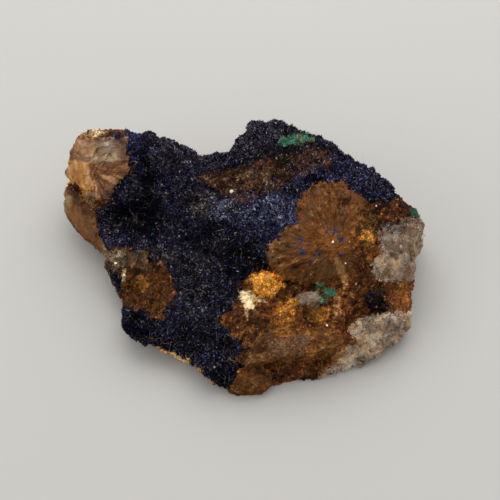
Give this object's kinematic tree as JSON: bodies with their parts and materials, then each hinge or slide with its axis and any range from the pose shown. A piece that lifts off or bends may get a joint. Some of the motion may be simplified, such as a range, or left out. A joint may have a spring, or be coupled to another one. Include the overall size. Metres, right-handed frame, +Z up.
{
  "type": "azurite specimen",
  "caption": "Loose mineral hand specimen: a dark blue azurite crust grown over brown limonite and quartz, broken off flat where it rests.",
  "frame": {"origin": "middle of the bounding box, on the flat base that it rests on", "axes": "+X along the longest side, towards the grey quartz end; +Y towards the high crest at the back; +Z up from the base"},
  "size_m": [0.1039, 0.0823, 0.0368],
  "materials": {
    "azurite_specimen": "rough broken limonite and azurite druse",
    "azurite_crust": "near-black navy crust of tiny glassy crystals",
    "limonite_matrix": "earthy brown to ochre, matt and broken",
    "quartz": "milky to iron-stained crystal, slightly see-through",
    "malachite": "small green velvety tufts"
  },
  "bodies": {
    "root": {"azurite_specimen": "azurite_specimen"}
  },
  "joints": []
}
